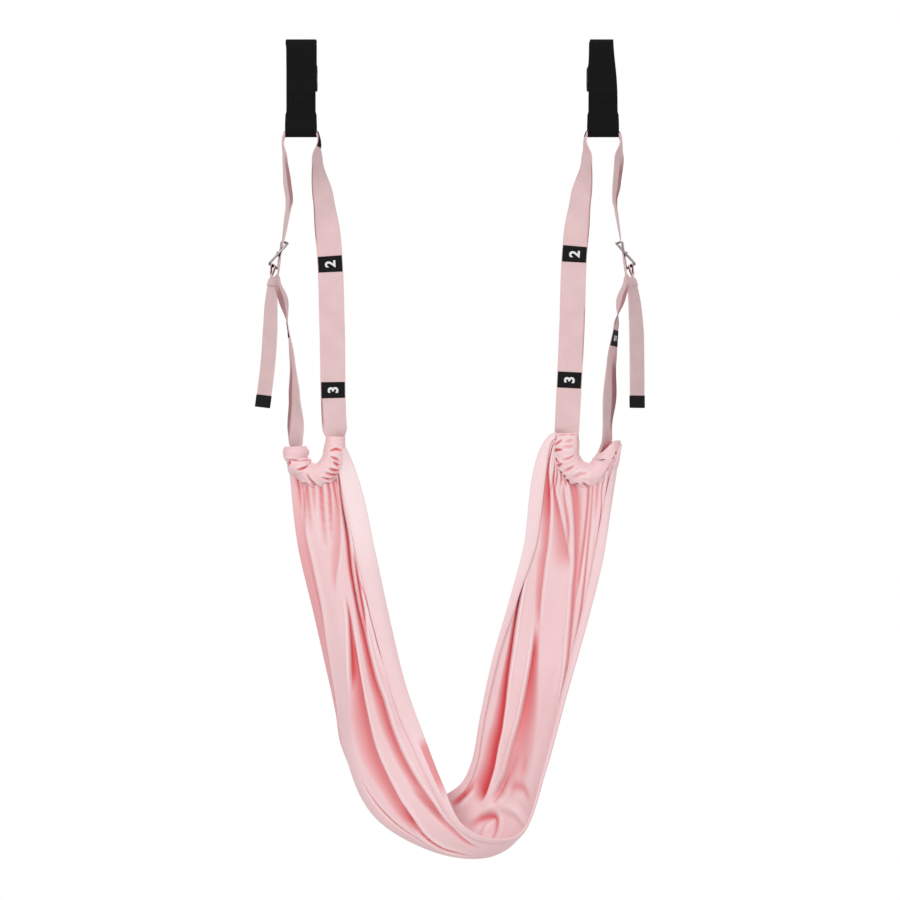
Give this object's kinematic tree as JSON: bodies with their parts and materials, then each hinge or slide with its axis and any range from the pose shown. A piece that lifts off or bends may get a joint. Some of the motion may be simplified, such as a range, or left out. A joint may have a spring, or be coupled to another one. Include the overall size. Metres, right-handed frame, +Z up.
{
  "type": "yoga inversion strap",
  "caption": "Door-hung inversion strap: two black door straps with stoppers, adjustable pink webbing loops and a gathered cloth sling that swings between them.",
  "frame": {"origin": "on the door's top edge, midway between the two door straps and in the middle of the door's thickness", "axes": "+Z up, +X along the door to the viewer's right, -Y out of the door's front towards the user"},
  "size_m": [0.5957, 0.1964, 1.2245],
  "materials": {
    "door_strap_webbing": "black woven nylon webbing, matte",
    "stopper_foam": "black closed-cell foam, matte",
    "stopper_core": "grey moulded rod",
    "pink_webbing": "pale pink ribbed webbing, matte",
    "label_tape": "black woven label tape, plain white numbers",
    "sling_cloth": "light pink stretch cloth with a soft sheen",
    "sling_hem": "light pink stretch cloth, turned and stitched",
    "adjuster_steel": "dark nickel-plated steel wire"
  },
  "bodies": {
    "door_anchors": {"left_door_strap_top": "door_strap_webbing", "left_stopper_foam": "stopper_foam", "left_stopper_core": "stopper_core", "right_door_strap_top": "door_strap_webbing", "right_stopper_foam": "stopper_foam", "right_stopper_core": "stopper_core"},
    "left_hanger": {"left_door_strap_front": "door_strap_webbing"},
    "right_hanger": {"right_door_strap_front": "door_strap_webbing"},
    "left_loop": {"left_webbing_loop": "pink_webbing", "left_size_label_1": "label_tape", "left_size_label_2": "label_tape", "left_size_label_3": "label_tape", "left_size_label_4": "label_tape", "left_size_label_5": "label_tape", "left_casing": "sling_cloth"},
    "right_loop": {"right_webbing_loop": "pink_webbing", "right_size_label_1": "label_tape", "right_size_label_2": "label_tape", "right_size_label_3": "label_tape", "right_size_label_4": "label_tape", "right_size_label_5": "label_tape", "right_casing": "sling_cloth"},
    "left_slide": {"left_adjuster": "adjuster_steel"},
    "right_slide": {"right_adjuster": "adjuster_steel"},
    "left_tail_end": {"left_tail": "pink_webbing", "left_tail_label": "label_tape"},
    "right_tail_end": {"right_tail": "pink_webbing", "right_tail_label": "label_tape"},
    "sling": {"sling_panel": "sling_cloth", "sling_front_hem": "sling_hem", "sling_rear_hem": "sling_hem"}
  },
  "joints": [
    {"name": "left_hanger_swing", "type": "hinge", "parent": "door_anchors", "child": "left_hanger", "pos_m": [-0.2265, -0.0216, -0.006], "axis": [-1, 0, 0], "range_deg": [0, 45]},
    {"name": "left_loop_swing", "type": "hinge", "parent": "left_hanger", "child": "left_loop", "pos_m": [-0.2265, -0.0216, -0.1294], "axis": [-1, 0, 0], "range_deg": [0, 25]},
    {"name": "left_adjuster_slide", "type": "slide", "parent": "left_loop", "child": "left_slide", "axis": [0.1564, 0, 0.9877], "range_m": [-0.008, 0.05]},
    {"name": "left_tail_swing", "type": "hinge", "parent": "left_slide", "child": "left_tail_end", "pos_m": [-0.26809, -0.0216, -0.33654], "axis": [0, 1, 0], "range_deg": [0, 60]},
    {"name": "right_hanger_swing", "type": "hinge", "parent": "door_anchors", "child": "right_hanger", "pos_m": [0.2265, -0.0216, -0.006], "axis": [-1, 0, 0], "range_deg": [0, 45]},
    {"name": "right_loop_swing", "type": "hinge", "parent": "right_hanger", "child": "right_loop", "pos_m": [0.2265, -0.0216, -0.1294], "axis": [-1, 0, 0], "range_deg": [0, 25]},
    {"name": "right_adjuster_slide", "type": "slide", "parent": "right_loop", "child": "right_slide", "axis": [-0.1564, 0, 0.9877], "range_m": [-0.008, 0.05]},
    {"name": "right_tail_swing", "type": "hinge", "parent": "right_slide", "child": "right_tail_end", "pos_m": [0.26809, -0.0216, -0.33654], "axis": [0, -1, 0], "range_deg": [0, 60]},
    {"name": "sling_swing", "type": "hinge", "parent": "left_loop", "child": "sling", "pos_m": [0, -0.0216, -0.67595], "axis": [-1, 0, 0], "range_deg": [0, 20]}
  ],
  "couplings": [
    {"joint": "right_hanger_swing", "follows": "left_hanger_swing", "ratio": 1},
    {"joint": "right_loop_swing", "follows": "left_loop_swing", "ratio": 1}
  ]
}
